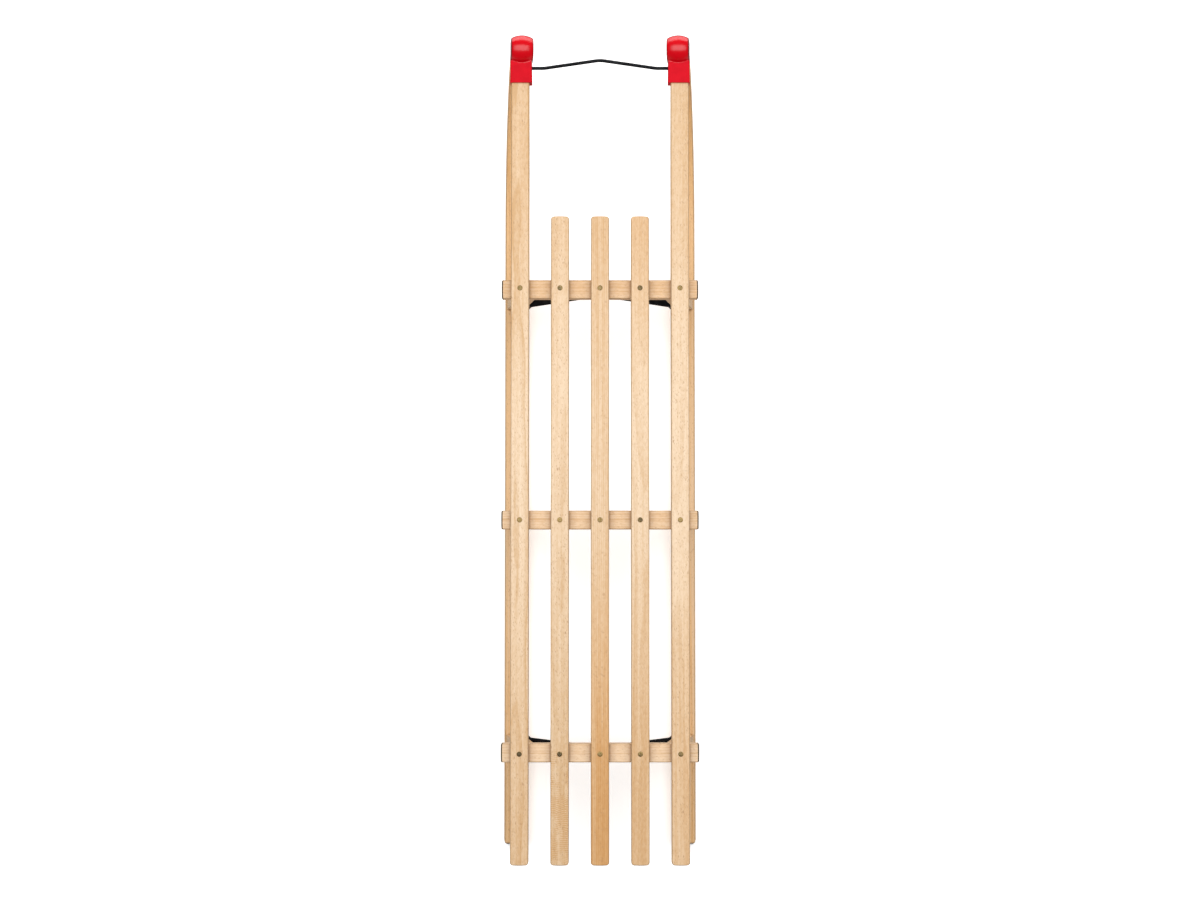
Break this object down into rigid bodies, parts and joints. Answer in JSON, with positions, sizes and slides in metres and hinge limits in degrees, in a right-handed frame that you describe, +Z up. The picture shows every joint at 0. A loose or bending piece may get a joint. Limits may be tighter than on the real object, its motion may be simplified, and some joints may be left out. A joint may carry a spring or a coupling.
{
  "type": "wooden sled",
  "caption": "Rigid slatted beech sled with bent runners, steel soles and braces, red tip caps and a pull bow; carries a rider over snow and is towed by a rope.",
  "frame": {"origin": "on the floor, midway between the seat's rear ends and the tips, on the sled's middle plane", "axes": "+Y towards the upturned front, +X to the rider's right, +Z up"},
  "size_m": [0.2702, 1.1, 0.2305],
  "materials": {
    "beech": "clear satin lacquer over fine-grained beech",
    "cap_red": "glossy nose, finely textured sleeve",
    "black_steel": "satin black coating",
    "sole_steel": "bright rolled strip with light scratches"
  },
  "bodies": {
    "root": {"rail_left": "beech", "rail_right": "beech", "slat_left": "beech", "slat_centre": "beech", "slat_right": "beech", "crossbeam_front": "beech", "crossbeam_middle": "beech", "crossbeam_rear": "beech", "leg_front_left": "beech", "leg_front_right": "beech", "leg_middle_left": "beech", "leg_middle_right": "beech", "leg_rear_left": "beech", "leg_rear_right": "beech", "runner_left": "beech", "runner_right": "beech", "tip_cap_left": "cap_red", "tip_cap_right": "cap_red", "pull_bow": "black_steel", "brace_front": "black_steel", "brace_middle": "black_steel", "brace_rear": "black_steel", "runner_sole_left": "sole_steel", "runner_sole_right": "sole_steel"}
  },
  "joints": []
}
